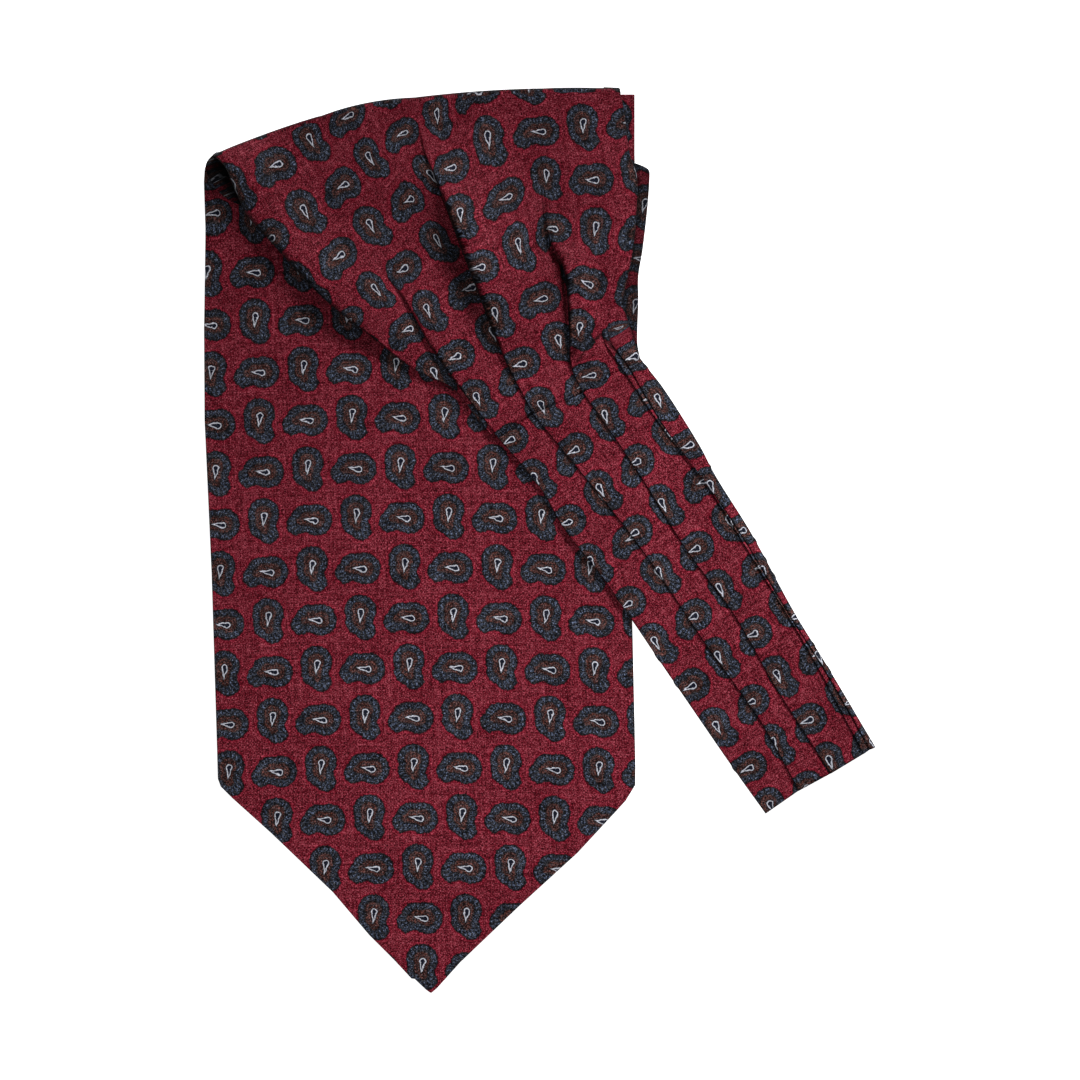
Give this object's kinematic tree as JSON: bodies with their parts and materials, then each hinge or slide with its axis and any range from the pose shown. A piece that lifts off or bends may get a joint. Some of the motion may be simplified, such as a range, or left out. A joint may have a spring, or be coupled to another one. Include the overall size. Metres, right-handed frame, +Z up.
{
  "type": "silk cravat",
  "caption": "Pleated printed silk cravat folded at the middle of its neckband and laid flat, its fan turned over so the pointed blade lies beneath.",
  "frame": {"origin": "on the table, under the middle of the outline of the folded cravat", "axes": "+X to the right across the blades, +Y up the blades from the point to the turned-over top, +Z up from the table"},
  "size_m": [0.2589, 0.3475, 0.0089],
  "materials": {
    "printed_silk_blade": "matte printed silk twill, crimson ground with dark paisley repeats",
    "printed_silk_fan": "matte printed silk twill, crimson ground with dark paisley repeats",
    "printed_silk_neckband": "matte printed silk twill, pleated and pressed",
    "printed_silk_back": "the same printed silk on the back half"
  },
  "bodies": {
    "root": {"blade_back": "printed_silk_back", "blade_front": "printed_silk_blade", "fan_back": "printed_silk_back", "fan_front": "printed_silk_fan", "neckband_back": "printed_silk_back", "neckband_front": "printed_silk_neckband"}
  },
  "joints": []
}
